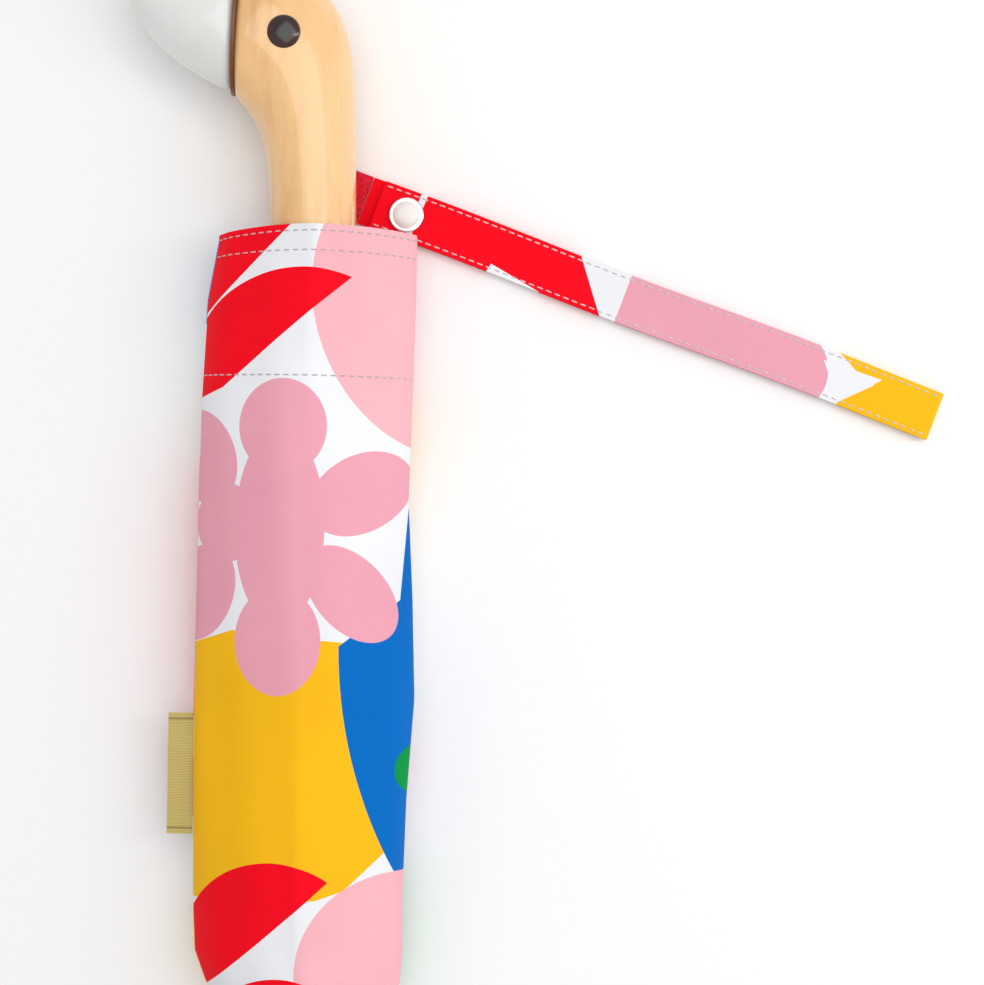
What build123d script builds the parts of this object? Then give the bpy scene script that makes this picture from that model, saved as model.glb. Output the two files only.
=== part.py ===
"""Folding umbrella with a carved bird-head handle, lying on its side in its fabric sleeve.

Millimetres. The shaft runs along Y at height AXIS_Z: the handle points to +Y and the crown to -Y.
The sleeve's flat underside rests on z = 0, with the origin at the middle of that face.
The ribs are drawn for the azimuth of +X and turned about the shaft.
"""

import math
import os

from build123d import *

# ---- driving dimensions -------------------------------------------------------------------
AXIS_Z = 19.0  # height of the shaft's axis above the table
CLEAR = 0.3  # gap between parts that move or only lie side by side
FIT = 0.1  # radial gap of a running fit

# shaft: three telescoping tubes
LOWER_TUBE_R = 3.5
TUBE_WALL = 0.8
TUBE_STEP = TUBE_WALL + FIT
MIDDLE_TUBE_R = LOWER_TUBE_R + TUBE_STEP
UPPER_TUBE_R = MIDDLE_TUBE_R + TUBE_STEP
NECK_END_Y = 92.0  # lower end of the handle's neck
TUBE_IN_HANDLE = 40.0
UPPER_TUBE_TOP_Y = -108.0
UPPER_TUBE_END_Y = 86.0
STAGE_INSET = 2.0  # each inner tube ends this much sooner at the crown and later at the handle

# frame: crown, runner and ribs
RIB_COUNT = 6
CROWN_Y = -104.0  # the crown's rib pivots
PIVOT_R = 9.0  # radius of the pivots on the crown, on the runner and at the stretchers
CROWN_HUB_R = 7.0
CROWN_LENGTH = 10.0
STRETCHER_LENGTH = 90.0  # also the distance from a crown pivot to the stretcher's pivot
TOP_RIB_LENGTH = 160.0
MID_RIB_LENGTH = 160.0
OUTER_RIB_LENGTH = 182.0
FOLD_1_R = 12.3  # radius of the pivot between top and middle rib
FOLD_2_R = 15.3  # radius of the pivot between middle and outer rib
BLADE = 1.6  # width of stretchers, middle ribs and crown lugs, along the pivots
CHANNEL_WALL = 0.5
CHANNEL_IN = BLADE / 2 + CLEAR  # half the channel's inner width
CHANNEL_OUT = CHANNEL_IN + CHANNEL_WALL
PIN_R = 0.6
EYE_R = 1.5  # rounded end around each pivot
WEB_SETBACK = 3.4  # how far the channel's web stays from a pivot
RUNNER_R = UPPER_TUBE_R + FIT + 1.6
RUNNER_LENGTH = 24.0
FLANGE_R = 11.0
FLANGE_LENGTH = 10.0
RIB_TIP_R = 1.6

# folded canopy: three layers of panels between the ribs
PANEL_WIDTH = 8.0
PANEL_THICK = 1.9
PANEL_LAYERS = {"inner": (10.5, TOP_RIB_LENGTH), "middle": (13.1, MID_RIB_LENGTH), "outer": (15.5, 178.0)}

# handle
NECK_R = 13.4
SEAM_GAP = 0.5  # dark line between head and bill
TENON_R = 7.0
TENON_LENGTH = 9.0
EYE_BALL_R = 5.1
EYE_PROUD = 2.6
EYE_CENTRE = (-9.0, 178.9)
EYE_POST_R = 1.5
SCREW_Y = 146.0
SCREW_HEAD_R = 2.1
CUP_WALL = 0.8
CUP_LENGTH = 12.0

# sleeve: a flattened bag
SLEEVE_MOUTH_Y = 121.0
SLEEVE_END_Y = -121.0
SLEEVE_HALF_WIDTH = 33.0
SLEEVE_FLAT_HALF = 12.0
SLEEVE_EDGE_Z = 17.0
SLEEVE_TOP_Z = 38.0
SLEEVE_WALL = 1.0
LABEL_SIZE = (9.0, 37.5, 0.6)
LABEL_Y = -47.8

# strap: a flat loop closed by a press stud
STRAP_WIDTH = 15.4
STRAP_THICK = 1.0
STRAP_ROOT = (15.3, 131.7)
STRAP_TIP = (195.5, 67.0)
STRAP_TAB_LENGTH = 12.0  # from the strap's root back behind the neck
STRAP_TAB_SEWN = (15.0, 24.0)  # the tab's tongue inside the mouth: width along X, length along Y
STRAP_TAB_Z = 1.3
STRAP_LAYER_GAP = 1.2
STRAP_LOW_Z = 0.4
SNAP_FROM_ROOT = 13.7
SNAP_CAP_R = 5.5
SNAP_CAP_HEIGHT = 1.6
SNAP_POST_R = 1.6
SNAP_STUD_R = 1.9
SNAP_STUD_HEIGHT = 0.6

os.makedirs("parts", exist_ok=True)


def write(part, label):
    """Labels a finished sub-part and writes its STEP file."""
    part.label = label
    export_step(part, f"parts/{label}.step")


def across(y, z=AXIS_Z, x=0.0):
    """A plane across the shaft at y, with its own x along X and its normal along +Y."""
    return Plane(origin=(x, y, z), x_dir=(1, 0, 0), z_dir=(0, 1, 0))


# ---- handle -------------------------------------------------------------------------------
# each section is an ellipse from a throat point to a crown point, with its thickness along Z
HEAD_SECTIONS = [
    ((-13.4, 126.0), (13.4, 126.0), 26.8),
    ((-14.1, 137.0), (13.1, 138.5), 26.8),
    ((-15.4, 145.5), (12.8, 151.0), 27.2),
    ((-17.6, 151.5), (12.4, 165.0), 28.4),
    ((-20.1, 155.4), (11.0, 181.0), 30.0),
    ((-22.2, 158.0), (3.5, 194.5), 31.0),
    ((-23.8, 159.8), (-9.0, 202.6), 31.2),
    ((-25.0, 161.4), (-23.0, 204.2), 30.2),
]
BILL_SECTIONS = [
    ((-25.5, 161.6), (-23.5, 204.0), 30.0),
    ((-37.2, 167.4), (-35.0, 202.6), 26.5),
    ((-46.9, 174.1), (-45.5, 202.8), 22.0),
    ((-53.2, 181.2), (-52.5, 203.0), 17.0),
    ((-57.2, 188.0), (-56.8, 201.6), 11.0),
    ((-59.0, 193.0), (-58.8, 199.4), 5.0),
]


def section_plane(low, high):
    """The plane through a throat point and a crown point, square to the side view."""
    centre = ((low[0] + high[0]) / 2, (low[1] + high[1]) / 2, AXIS_Z)
    run = Vector(high[0] - low[0], high[1] - low[1], 0)
    return Plane(origin=centre, x_dir=run, z_dir=Vector(-run.Y, run.X, 0)), run.length / 2


def ellipses(sections):
    """The sketches of a lofted body's sections."""
    made = []
    for low, high, thick in sections:
        plane, half = section_plane(low, high)
        with BuildSketch(plane) as section:
            Ellipse(half, thick / 2)
        made.append(section.sketch)
    return made


seam_plane, _ = section_plane(*BILL_SECTIONS[0][:2])
bore_end = NECK_END_Y + TUBE_IN_HANDLE
with BuildPart() as duck_head:
    with BuildSketch(across(NECK_END_Y)):
        Circle(NECK_R)
    extrude(amount=HEAD_SECTIONS[0][0][1] - NECK_END_Y)
    loft(ellipses(HEAD_SECTIONS))
    with BuildSketch(across(NECK_END_Y)):
        Circle(LOWER_TUBE_R)
    extrude(amount=TUBE_IN_HANDLE, mode=Mode.SUBTRACT)
    with BuildSketch(across(NECK_END_Y)):
        Circle(NECK_R + 1)
        Circle(NECK_R - CUP_WALL, mode=Mode.SUBTRACT)
    extrude(amount=CUP_LENGTH, mode=Mode.SUBTRACT)
    with BuildSketch(seam_plane):
        Circle(TENON_R)
    extrude(amount=TENON_LENGTH + SEAM_GAP, both=True, mode=Mode.SUBTRACT)
    with BuildSketch(Plane.YZ.offset(-NECK_R - 5)):
        with Locations((SCREW_Y, AXIS_Z)):
            Circle(SCREW_HEAD_R)
    extrude(amount=8.0, mode=Mode.SUBTRACT)
    for side in (-1, 1):
        with BuildSketch(Plane.XY.offset(AXIS_Z + side * 12.5)):
            with Locations(EYE_CENTRE):
                Circle(EYE_BALL_R)
        extrude(amount=side * 6.0, mode=Mode.SUBTRACT)
        with BuildSketch(Plane.XY.offset(AXIS_Z + side * 7.0)):
            with Locations(EYE_CENTRE):
                Circle(EYE_POST_R)
        extrude(amount=side * 6.0, mode=Mode.SUBTRACT)
write(duck_head.part, "duck_head")

with BuildPart() as bill:
    loft(ellipses(BILL_SECTIONS))
    with BuildSketch(seam_plane):
        Circle(TENON_R)
    extrude(amount=-TENON_LENGTH)
write(bill.part, "bill")

with BuildPart() as eyes:
    for side in (-1, 1):
        with BuildSketch(Plane.XY.offset(AXIS_Z + side * 12.5)):
            with Locations(EYE_CENTRE):
                Circle(EYE_BALL_R)
        extrude(amount=side * (EYE_PROUD + 0.6))
        fillet(eyes.faces().sort_by(Axis.Z)[-1 if side > 0 else 0].edges(), 1.6)
        with BuildSketch(Plane.XY.offset(AXIS_Z + side * 7.0)):
            with Locations(EYE_CENTRE):
                Circle(EYE_POST_R)
        extrude(amount=side * 5.5)
write(eyes.part, "eyes")

with BuildPart() as handle_screw:
    with BuildSketch(Plane.YZ.offset(-NECK_R - 0.6)):
        with Locations((SCREW_Y, AXIS_Z)):
            Circle(SCREW_HEAD_R)
            Rectangle(2.6, 0.6, mode=Mode.SUBTRACT)
    extrude(amount=1.0)
    with BuildSketch(Plane.YZ.offset(-NECK_R + 0.4)):
        with Locations((SCREW_Y, AXIS_Z)):
            Circle(SCREW_HEAD_R)
    extrude(amount=2.6)
write(handle_screw.part, "handle_screw")

with BuildPart() as handle_cup:
    with BuildSketch(across(NECK_END_Y)):
        Circle(NECK_R)
        Circle(NECK_R - CUP_WALL, mode=Mode.SUBTRACT)
    extrude(amount=CUP_LENGTH)
write(handle_cup.part, "handle_cup")


# ---- helpers for what is drawn at azimuth 0 in the XY plane, x being the distance from the axis ----
def bar(x0, x1, y0, y1, half, inner_half=0.0):
    """A straight bar or pair of side plates between two radii, in the current part."""
    for level in ((-half, half),) if not inner_half else ((-half, -inner_half), (inner_half, half)):
        with BuildSketch(Plane.XY.offset(level[0])) as plate:
            with Locations(((x0 + x1) / 2, (y0 + y1) / 2)):
                Rectangle(x1 - x0, y1 - y0)
        extrude(plate.sketch, amount=level[1] - level[0])


def disc(x, y, radius, half, inner_half=0.0, mode=Mode.ADD):
    """A round eye or hole about a pivot, in the current part."""
    for level in ((-half, half),) if not inner_half else ((-half, -inner_half), (inner_half, half)):
        with BuildSketch(Plane.XY.offset(level[0])) as eye:
            with Locations((x, y)):
                Circle(radius)
        extrude(eye.sketch, amount=level[1] - level[0], mode=mode)


def rivet(x, y, half=CHANNEL_OUT):
    """A separate pivot pin through a pair of side plates."""
    with BuildPart() as pin:
        disc(x, y, PIN_R, half)
    return pin.part


def around(shape, index, turn=0.0):
    """A copy of a shape drawn at azimuth 0, turned to its rib and lifted to the shaft's height."""
    angle = index * 360 / RIB_COUNT + turn
    return Pos(0, 0, AXIS_Z) * Rot(0, -angle, 0) * shape


# ---- shaft --------------------------------------------------------------------------------
def tube(outer_r, start_y, end_y):
    """A shaft tube from start_y to end_y."""
    with BuildPart() as made:
        with BuildSketch(across(start_y)):
            Circle(outer_r)
            Circle(outer_r - TUBE_WALL, mode=Mode.SUBTRACT)
        extrude(amount=end_y - start_y)
    return made.part


write(tube(LOWER_TUBE_R, UPPER_TUBE_TOP_Y + 3 * STAGE_INSET, bore_end), "lower_tube")
write(tube(MIDDLE_TUBE_R, UPPER_TUBE_TOP_Y + 2 * STAGE_INSET, UPPER_TUBE_END_Y + STAGE_INSET), "middle_tube")
write(tube(UPPER_TUBE_R, UPPER_TUBE_TOP_Y, UPPER_TUBE_END_Y), "upper_tube")

with BuildPart() as lug_hole:
    disc(PIVOT_R, CROWN_Y, PIN_R + FIT / 2, BLADE)
with BuildPart() as crown:
    with BuildSketch(across(CROWN_Y - CROWN_LENGTH / 2)):
        Circle(CROWN_HUB_R)
    extrude(amount=CROWN_LENGTH)
    with BuildSketch(across(CROWN_Y)):
        with PolarLocations(0, RIB_COUNT):
            with Locations(((PIVOT_R + 4) / 2, 0)):
                Rectangle(PIVOT_R - 4 + 2 * EYE_R, BLADE)
    extrude(amount=EYE_R, both=True)
    with BuildSketch(across(CROWN_Y - CROWN_LENGTH)):
        Circle(UPPER_TUBE_R)
    extrude(amount=2 * CROWN_LENGTH, mode=Mode.SUBTRACT)
    for index in range(RIB_COUNT):
        add(around(lug_hole.part, index), mode=Mode.SUBTRACT)
write(crown.part, "crown")

FERRULE_END_Y = SLEEVE_END_Y + SLEEVE_WALL + 1.0
with BuildPart() as ferrule_cap:
    with BuildSketch(across(FERRULE_END_Y)):
        Circle(CROWN_HUB_R)
    extrude(amount=CROWN_Y - CROWN_LENGTH / 2 - FERRULE_END_Y)
    fillet(ferrule_cap.faces().sort_by(Axis.Y)[0].edges(), 3.0)
    with BuildSketch(across(UPPER_TUBE_TOP_Y)):
        Circle(UPPER_TUBE_R)
    extrude(amount=CROWN_LENGTH, mode=Mode.SUBTRACT)
write(ferrule_cap.part, "ferrule_cap")

RUNNER_PIVOT_Y = CROWN_Y + 2 * STRETCHER_LENGTH
with BuildPart() as runner:
    with BuildSketch(across(RUNNER_PIVOT_Y - FLANGE_LENGTH / 2)):
        Circle(FLANGE_R)
        with PolarLocations(0, RIB_COUNT):
            with Locations((FLANGE_R, 0)):
                Rectangle(2 * (FLANGE_R - PIVOT_R + EYE_R), 2 * CHANNEL_IN, mode=Mode.SUBTRACT)
    extrude(amount=FLANGE_LENGTH)
    with BuildSketch(across(RUNNER_PIVOT_Y - FLANGE_LENGTH / 2)):
        Circle(RUNNER_R)
    extrude(amount=UPPER_TUBE_END_Y - 1 - RUNNER_PIVOT_Y + FLANGE_LENGTH / 2)
    with BuildSketch(across(RUNNER_PIVOT_Y)):
        Circle(UPPER_TUBE_R + FIT)
    extrude(amount=RUNNER_LENGTH, both=True, mode=Mode.SUBTRACT)
write(runner.part, "runner")


# ---- ribs -------------------------------------------------------------------------------
FOLD_1_Y = CROWN_Y + TOP_RIB_LENGTH
FOLD_2_Y = FOLD_1_Y - MID_RIB_LENGTH
STRETCHER_PIVOT_Y = CROWN_Y + STRETCHER_LENGTH


with BuildPart() as top_rib:
    side_in, side_out = PIVOT_R - 1.0, PIVOT_R + 1.6
    bar(side_in, side_out, CROWN_Y, FOLD_1_Y - EYE_R, CHANNEL_OUT, CHANNEL_IN)
    bar(side_out - CHANNEL_WALL, side_out, CROWN_Y + WEB_SETBACK, FOLD_1_Y - WEB_SETBACK, CHANNEL_OUT)
    bar(side_in, FOLD_1_R, FOLD_1_Y - 2 * EYE_R, FOLD_1_Y + EYE_R / 2, CHANNEL_OUT, CHANNEL_IN)
    disc(FOLD_1_R, FOLD_1_Y, EYE_R, CHANNEL_OUT, CHANNEL_IN)
    disc(PIVOT_R, CROWN_Y, EYE_R - 0.4, CHANNEL_OUT, CHANNEL_IN)
top_rib_pins = [rivet(FOLD_1_R, FOLD_1_Y), rivet(PIVOT_R, STRETCHER_PIVOT_Y), rivet(PIVOT_R, CROWN_Y)]

with BuildPart() as stretcher:
    bar(PIVOT_R - 0.9, PIVOT_R + 0.9, STRETCHER_PIVOT_Y, RUNNER_PIVOT_Y, BLADE / 2)
    for end_y in (STRETCHER_PIVOT_Y, RUNNER_PIVOT_Y):
        disc(PIVOT_R, end_y, 0.9, BLADE / 2)
    disc(PIVOT_R, STRETCHER_PIVOT_Y, PIN_R + FIT / 2, BLADE / 2, mode=Mode.SUBTRACT)

with BuildPart() as mid_rib:
    bar(FOLD_1_R + 0.1, FOLD_2_R - 0.6, FOLD_2_Y, FOLD_1_Y, BLADE / 2)
    disc(FOLD_1_R, FOLD_1_Y, EYE_R, BLADE / 2)
    disc(FOLD_2_R, FOLD_2_Y, EYE_R, BLADE / 2)
    for x, y in ((FOLD_1_R, FOLD_1_Y), (FOLD_2_R, FOLD_2_Y)):
        disc(x, y, PIN_R + FIT, BLADE / 2, mode=Mode.SUBTRACT)

OUTER_TIP_Y = FOLD_2_Y + OUTER_RIB_LENGTH
with BuildPart() as outer_rib:
    rod_x = FOLD_2_R + 1.6
    bar(rod_x - 0.9, rod_x + 0.9, FOLD_2_Y + WEB_SETBACK, OUTER_TIP_Y, CHANNEL_OUT)
    bar(FOLD_2_R, rod_x + 0.9, FOLD_2_Y - EYE_R / 2, FOLD_2_Y + 2 * WEB_SETBACK, CHANNEL_OUT, CHANNEL_IN)
    disc(FOLD_2_R, FOLD_2_Y, EYE_R, CHANNEL_OUT, CHANNEL_IN)
with BuildPart() as rib_tip:
    with Locations((rod_x, OUTER_TIP_Y + RIB_TIP_R, 0)):
        Sphere(RIB_TIP_R)
    split(bisect_by=Plane(origin=(rod_x, OUTER_TIP_Y, 0), z_dir=(0, 1, 0)), keep=Keep.TOP)
outer_rib_extras = [rivet(FOLD_2_R, FOLD_2_Y), rib_tip.part]


def drilled(shape, pins):
    """A rib with its pin holes, as one group with the pins themselves."""
    for pin in pins:
        shape = shape - pin
    return Compound(children=[*shape.solids(), *[s for pin in pins for s in pin.solids()]])


rib_kinds = {
    "top_rib": drilled(top_rib.part, top_rib_pins),
    "stretcher": stretcher.part,
    "mid_rib": mid_rib.part,
    "outer_rib": drilled(outer_rib.part, outer_rib_extras),
}
for kind, shape in rib_kinds.items():
    for index in range(RIB_COUNT):
        write(around(shape, index), f"{kind}_{index + 1}")

# ---- canopy panels, folded between the ribs -------------------------------------------------
PANEL_TOP_Y = CROWN_Y + 2.0
for layer, (radius, length) in PANEL_LAYERS.items():
    with BuildPart() as panel:
        bar(radius, radius + PANEL_THICK, PANEL_TOP_Y, PANEL_TOP_Y + length - 4.0, PANEL_WIDTH / 2)
    for index in range(RIB_COUNT):
        write(around(panel.part, index, turn=180 / RIB_COUNT), f"canopy_{layer}_{index + 1}")


# ---- sleeve -------------------------------------------------------------------------------
def bag_outline(inset, y):
    """The sleeve's cross-section at y, drawn inset from its outer face."""
    half, flat = SLEEVE_HALF_WIDTH - 2 * inset, SLEEVE_FLAT_HALF - inset
    low, high = inset, SLEEVE_TOP_Z - inset
    with BuildSketch(Plane(origin=(0, y, 0), x_dir=(1, 0, 0), z_dir=(0, -1, 0))) as outline:
        with BuildLine():
            Line((-flat, low), (flat, low))
            ThreePointArc((flat, low), ((flat + half) / 2 + 1.6, 5.4 + inset), (half, SLEEVE_EDGE_Z))
            ThreePointArc((half, SLEEVE_EDGE_Z), (0, high), (-half, SLEEVE_EDGE_Z))
            ThreePointArc((-half, SLEEVE_EDGE_Z), (-(flat + half) / 2 - 1.6, 5.4 + inset), (-flat, low))
        make_face()
    return outline.sketch


with BuildPart() as sleeve:
    extrude(bag_outline(0.0, SLEEVE_MOUTH_Y), amount=SLEEVE_MOUTH_Y - SLEEVE_END_Y)
    bag_depth = SLEEVE_MOUTH_Y - SLEEVE_END_Y - SLEEVE_WALL
    extrude(bag_outline(SLEEVE_WALL, SLEEVE_MOUTH_Y), amount=bag_depth, mode=Mode.SUBTRACT)
write(sleeve.part, "sleeve")

with BuildPart() as sleeve_label:
    with Locations((-SLEEVE_HALF_WIDTH - LABEL_SIZE[0] / 2, LABEL_Y, SLEEVE_EDGE_Z - 0.7)):
        Box(*LABEL_SIZE)
write(sleeve_label.part, "sleeve_label")

# ---- strap --------------------------------------------------------------------------------
strap_run = Vector(STRAP_TIP[0] - STRAP_ROOT[0], STRAP_TIP[1] - STRAP_ROOT[1], 0)
STRAP_LENGTH = strap_run.length
strap_side = Vector(-strap_run.Y, strap_run.X, 0).normalized()
UPPER_Z = STRAP_LOW_Z + STRAP_THICK + STRAP_LAYER_GAP
# the strap is drawn along its own x from the root, with its own z up
strap_plane = Plane(origin=(*STRAP_ROOT, 0), x_dir=strap_run, z_dir=(0, 0, 1))


def strap_band(x0, x1, z):
    """A flat length of strap, in the current part."""
    with BuildSketch(strap_plane.offset(z)) as band:
        with Locations(((x0 + x1) / 2, 0)):
            Rectangle(x1 - x0, STRAP_WIDTH)
    extrude(band.sketch, amount=STRAP_THICK)


def snap_disc(x, z, radius, height, mode=Mode.ADD):
    """A round piece of the press stud, in the current part."""
    with BuildSketch(strap_plane.offset(z)) as round_face:
        with Locations((x, 0)):
            Circle(radius)
    extrude(round_face.sketch, amount=height, mode=mode)


FOLD_R = (STRAP_LAYER_GAP + 2 * STRAP_THICK) / 2  # outer radius of the fold at the tip
with BuildPart() as strap_tab:
    strap_band(-STRAP_TAB_LENGTH, -CLEAR, STRAP_LOW_Z)
    with BuildSketch(Plane.XY.offset(STRAP_TAB_Z)):
        with Locations((0, SLEEVE_MOUTH_Y + STRAP_TAB_SEWN[1] / 6)):
            Rectangle(*STRAP_TAB_SEWN)
    extrude(amount=STRAP_THICK)
write(strap_tab.part, "strap_tab")

with BuildPart() as strap_lower:
    strap_band(0.0, STRAP_LENGTH - 2 * FOLD_R - CLEAR, STRAP_LOW_Z)
    snap_disc(SNAP_FROM_ROOT, STRAP_LOW_Z, SNAP_POST_R, STRAP_THICK, Mode.SUBTRACT)
write(strap_lower.part, "strap_lower")

fold_plane = Plane(
    origin=strap_plane.from_local_coords((STRAP_LENGTH - FOLD_R, 0, STRAP_LOW_Z + FOLD_R)),
    x_dir=strap_run,
    z_dir=-strap_side,
)
with BuildPart() as strap_upper:
    strap_band(0.0, STRAP_LENGTH - FOLD_R, UPPER_Z)
    with BuildSketch(fold_plane):
        Circle(FOLD_R)
        Circle(FOLD_R - STRAP_THICK, mode=Mode.SUBTRACT)
        with Locations((-FOLD_R, 0)):
            Rectangle(2 * FOLD_R, 2 * FOLD_R, mode=Mode.SUBTRACT)
    extrude(amount=STRAP_WIDTH / 2, both=True)
    snap_disc(SNAP_FROM_ROOT, UPPER_Z, SNAP_POST_R, STRAP_THICK, Mode.SUBTRACT)
write(strap_upper.part, "strap_upper")

with BuildPart() as snap_stud:
    snap_disc(SNAP_FROM_ROOT, STRAP_LOW_Z - CLEAR, SNAP_CAP_R - 0.8, CLEAR)
    snap_disc(SNAP_FROM_ROOT, STRAP_LOW_Z, SNAP_POST_R, STRAP_THICK)
    snap_disc(SNAP_FROM_ROOT, STRAP_LOW_Z + STRAP_THICK, SNAP_STUD_R, SNAP_STUD_HEIGHT)
write(snap_stud.part, "snap_stud")

SOCKET_HEIGHT = STRAP_LAYER_GAP - CLEAR
with BuildPart() as snap_cap:
    snap_disc(SNAP_FROM_ROOT, UPPER_Z - SOCKET_HEIGHT, SNAP_CAP_R - 0.8, SOCKET_HEIGHT)
    snap_disc(SNAP_FROM_ROOT, UPPER_Z - SOCKET_HEIGHT, SNAP_STUD_R + FIT, SNAP_STUD_HEIGHT, Mode.SUBTRACT)
    snap_disc(SNAP_FROM_ROOT, UPPER_Z, SNAP_POST_R, STRAP_THICK)
    snap_disc(SNAP_FROM_ROOT, UPPER_Z + STRAP_THICK, SNAP_CAP_R, SNAP_CAP_HEIGHT)
    fillet(snap_cap.faces().sort_by(Axis.Z)[-1].edges(), 1.2)
write(snap_cap.part, "snap_cap")
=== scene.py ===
"""A compact folding umbrella with a carved bird-head handle, lying in its printed sleeve."""

import math

import bmesh
import bpy
from mathutils import Matrix, Vector


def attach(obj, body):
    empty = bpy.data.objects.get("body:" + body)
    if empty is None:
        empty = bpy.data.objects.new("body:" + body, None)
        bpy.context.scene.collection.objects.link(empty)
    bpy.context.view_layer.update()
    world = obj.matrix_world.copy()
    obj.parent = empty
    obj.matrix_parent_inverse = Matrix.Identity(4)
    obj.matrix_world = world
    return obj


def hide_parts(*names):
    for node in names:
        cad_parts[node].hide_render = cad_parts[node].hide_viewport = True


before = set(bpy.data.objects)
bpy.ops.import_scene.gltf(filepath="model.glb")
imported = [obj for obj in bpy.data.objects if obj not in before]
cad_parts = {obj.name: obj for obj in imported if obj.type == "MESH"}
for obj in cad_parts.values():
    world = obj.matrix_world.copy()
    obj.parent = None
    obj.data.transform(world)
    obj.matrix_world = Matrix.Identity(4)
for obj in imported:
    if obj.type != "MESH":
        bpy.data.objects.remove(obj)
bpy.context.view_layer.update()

bl_info = {
    "name": "Folding Umbrella",
    "version": (1, 0, 0),
    "blender": (4, 5, 0),
    "location": "View3D > Sidebar > Umbrella",
    "description": "Builds a folding umbrella with a carved handle, a printed sleeve and a wrist strap",
    "category": "Add Mesh",
}

AXIS_Z = 0.019


# ---- settings -------------------------------------------------------------------------------
class HandleSettings(bpy.types.PropertyGroup):
    """Sizes and colours of the carved handle."""

    wood: bpy.props.FloatVectorProperty(
        name="Maple",
        description="Main colour of the lacquered wood",
        subtype="COLOR",
        size=3,
        min=0,
        max=1,
        default=(0.83, 0.50, 0.21),
    )
    wood_dark: bpy.props.FloatVectorProperty(
        name="Grain",
        description="Colour of the wood's darker grain",
        subtype="COLOR",
        size=3,
        min=0,
        max=1,
        default=(0.62, 0.30, 0.09),
    )
    bill: bpy.props.FloatVectorProperty(
        name="Bill",
        description="Colour of the lacquered bill",
        subtype="COLOR",
        size=3,
        min=0,
        max=1,
        default=(0.80, 0.81, 0.78),
    )
    eye_radius: bpy.props.FloatProperty(
        name="Eye radius",
        description="Radius of the resin eye",
        unit="LENGTH",
        default=0.0051,
        min=0.002,
        max=0.008,
    )
    seam_width: bpy.props.FloatProperty(
        name="Seam width",
        description="Width of the dark line between head and bill",
        unit="LENGTH",
        default=0.0011,
        min=0.0003,
        max=0.003,
    )


class SleeveSettings(bpy.types.PropertyGroup):
    """Sizes and colours of the printed sleeve."""

    cloth_thickness: bpy.props.FloatProperty(
        name="Cloth thickness",
        description="Thickness of the sleeve's cloth",
        unit="LENGTH",
        default=0.0006,
        min=0.0002,
        max=0.001,
    )
    fold_depth: bpy.props.FloatProperty(
        name="Fold depth",
        description="Depth of the soft folds over the ribs",
        unit="LENGTH",
        default=0.0009,
        min=0.0,
        max=0.003,
    )
    ground: bpy.props.FloatVectorProperty(
        name="Ground", description="Ground of the print", subtype="COLOR", size=3, min=0, max=1, default=(0.86, 0.87, 0.90)
    )
    red: bpy.props.FloatVectorProperty(
        name="Red", description="Red of the print", subtype="COLOR", size=3, min=0, max=1, default=(0.95, 0.002, 0.014)
    )
    pink: bpy.props.FloatVectorProperty(
        name="Pink", description="Pink of the print", subtype="COLOR", size=3, min=0, max=1, default=(0.84, 0.37, 0.46)
    )
    blush: bpy.props.FloatVectorProperty(
        name="Blush", description="Pale pink of the print", subtype="COLOR", size=3, min=0, max=1, default=(0.93, 0.47, 0.52)
    )
    yellow: bpy.props.FloatVectorProperty(
        name="Yellow", description="Yellow of the print", subtype="COLOR", size=3, min=0, max=1, default=(0.96, 0.51, 0.01)
    )
    blue: bpy.props.FloatVectorProperty(
        name="Blue", description="Blue of the print", subtype="COLOR", size=3, min=0, max=1, default=(0.0, 0.15, 0.54)
    )
    green: bpy.props.FloatVectorProperty(
        name="Green", description="Green of the print", subtype="COLOR", size=3, min=0, max=1, default=(0.0, 0.30, 0.06)
    )
    label: bpy.props.FloatVectorProperty(
        name="Label", description="Colour of the woven tab", subtype="COLOR", size=3, min=0, max=1, default=(0.66, 0.52, 0.14)
    )


class StrapSettings(bpy.types.PropertyGroup):
    """Sizes of the wrist strap and its stitching."""

    band_thickness: bpy.props.FloatProperty(
        name="Band thickness",
        description="Thickness of each layer of the strap",
        unit="LENGTH",
        default=0.0008,
        min=0.0003,
        max=0.001,
    )
    stitch_length: bpy.props.FloatProperty(
        name="Stitch length",
        description="Length of one stitch",
        unit="LENGTH",
        default=0.0021,
        min=0.001,
        max=0.004,
    )
    stitch_gap: bpy.props.FloatProperty(
        name="Stitch gap",
        description="Gap between two stitches",
        unit="LENGTH",
        default=0.0008,
        min=0.0003,
        max=0.003,
    )


class StageSettings(bpy.types.PropertyGroup):
    """Light, floor and camera."""

    key_power: bpy.props.FloatProperty(
        name="Key light", description="Power of the large overhead light", unit="POWER", default=7.0, min=0.0, max=100.0
    )
    side_power: bpy.props.FloatProperty(
        name="Side light", description="Power of the narrow side light", unit="POWER", default=2.4, min=0.0, max=100.0
    )
    world_strength: bpy.props.FloatProperty(
        name="World strength", description="Strength of the white surround", default=0.59, min=0.0, max=5.0
    )
    lens: bpy.props.FloatProperty(
        name="Lens", description="Focal length of the camera in millimetres", default=100.0, min=20.0, max=300.0
    )


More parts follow.
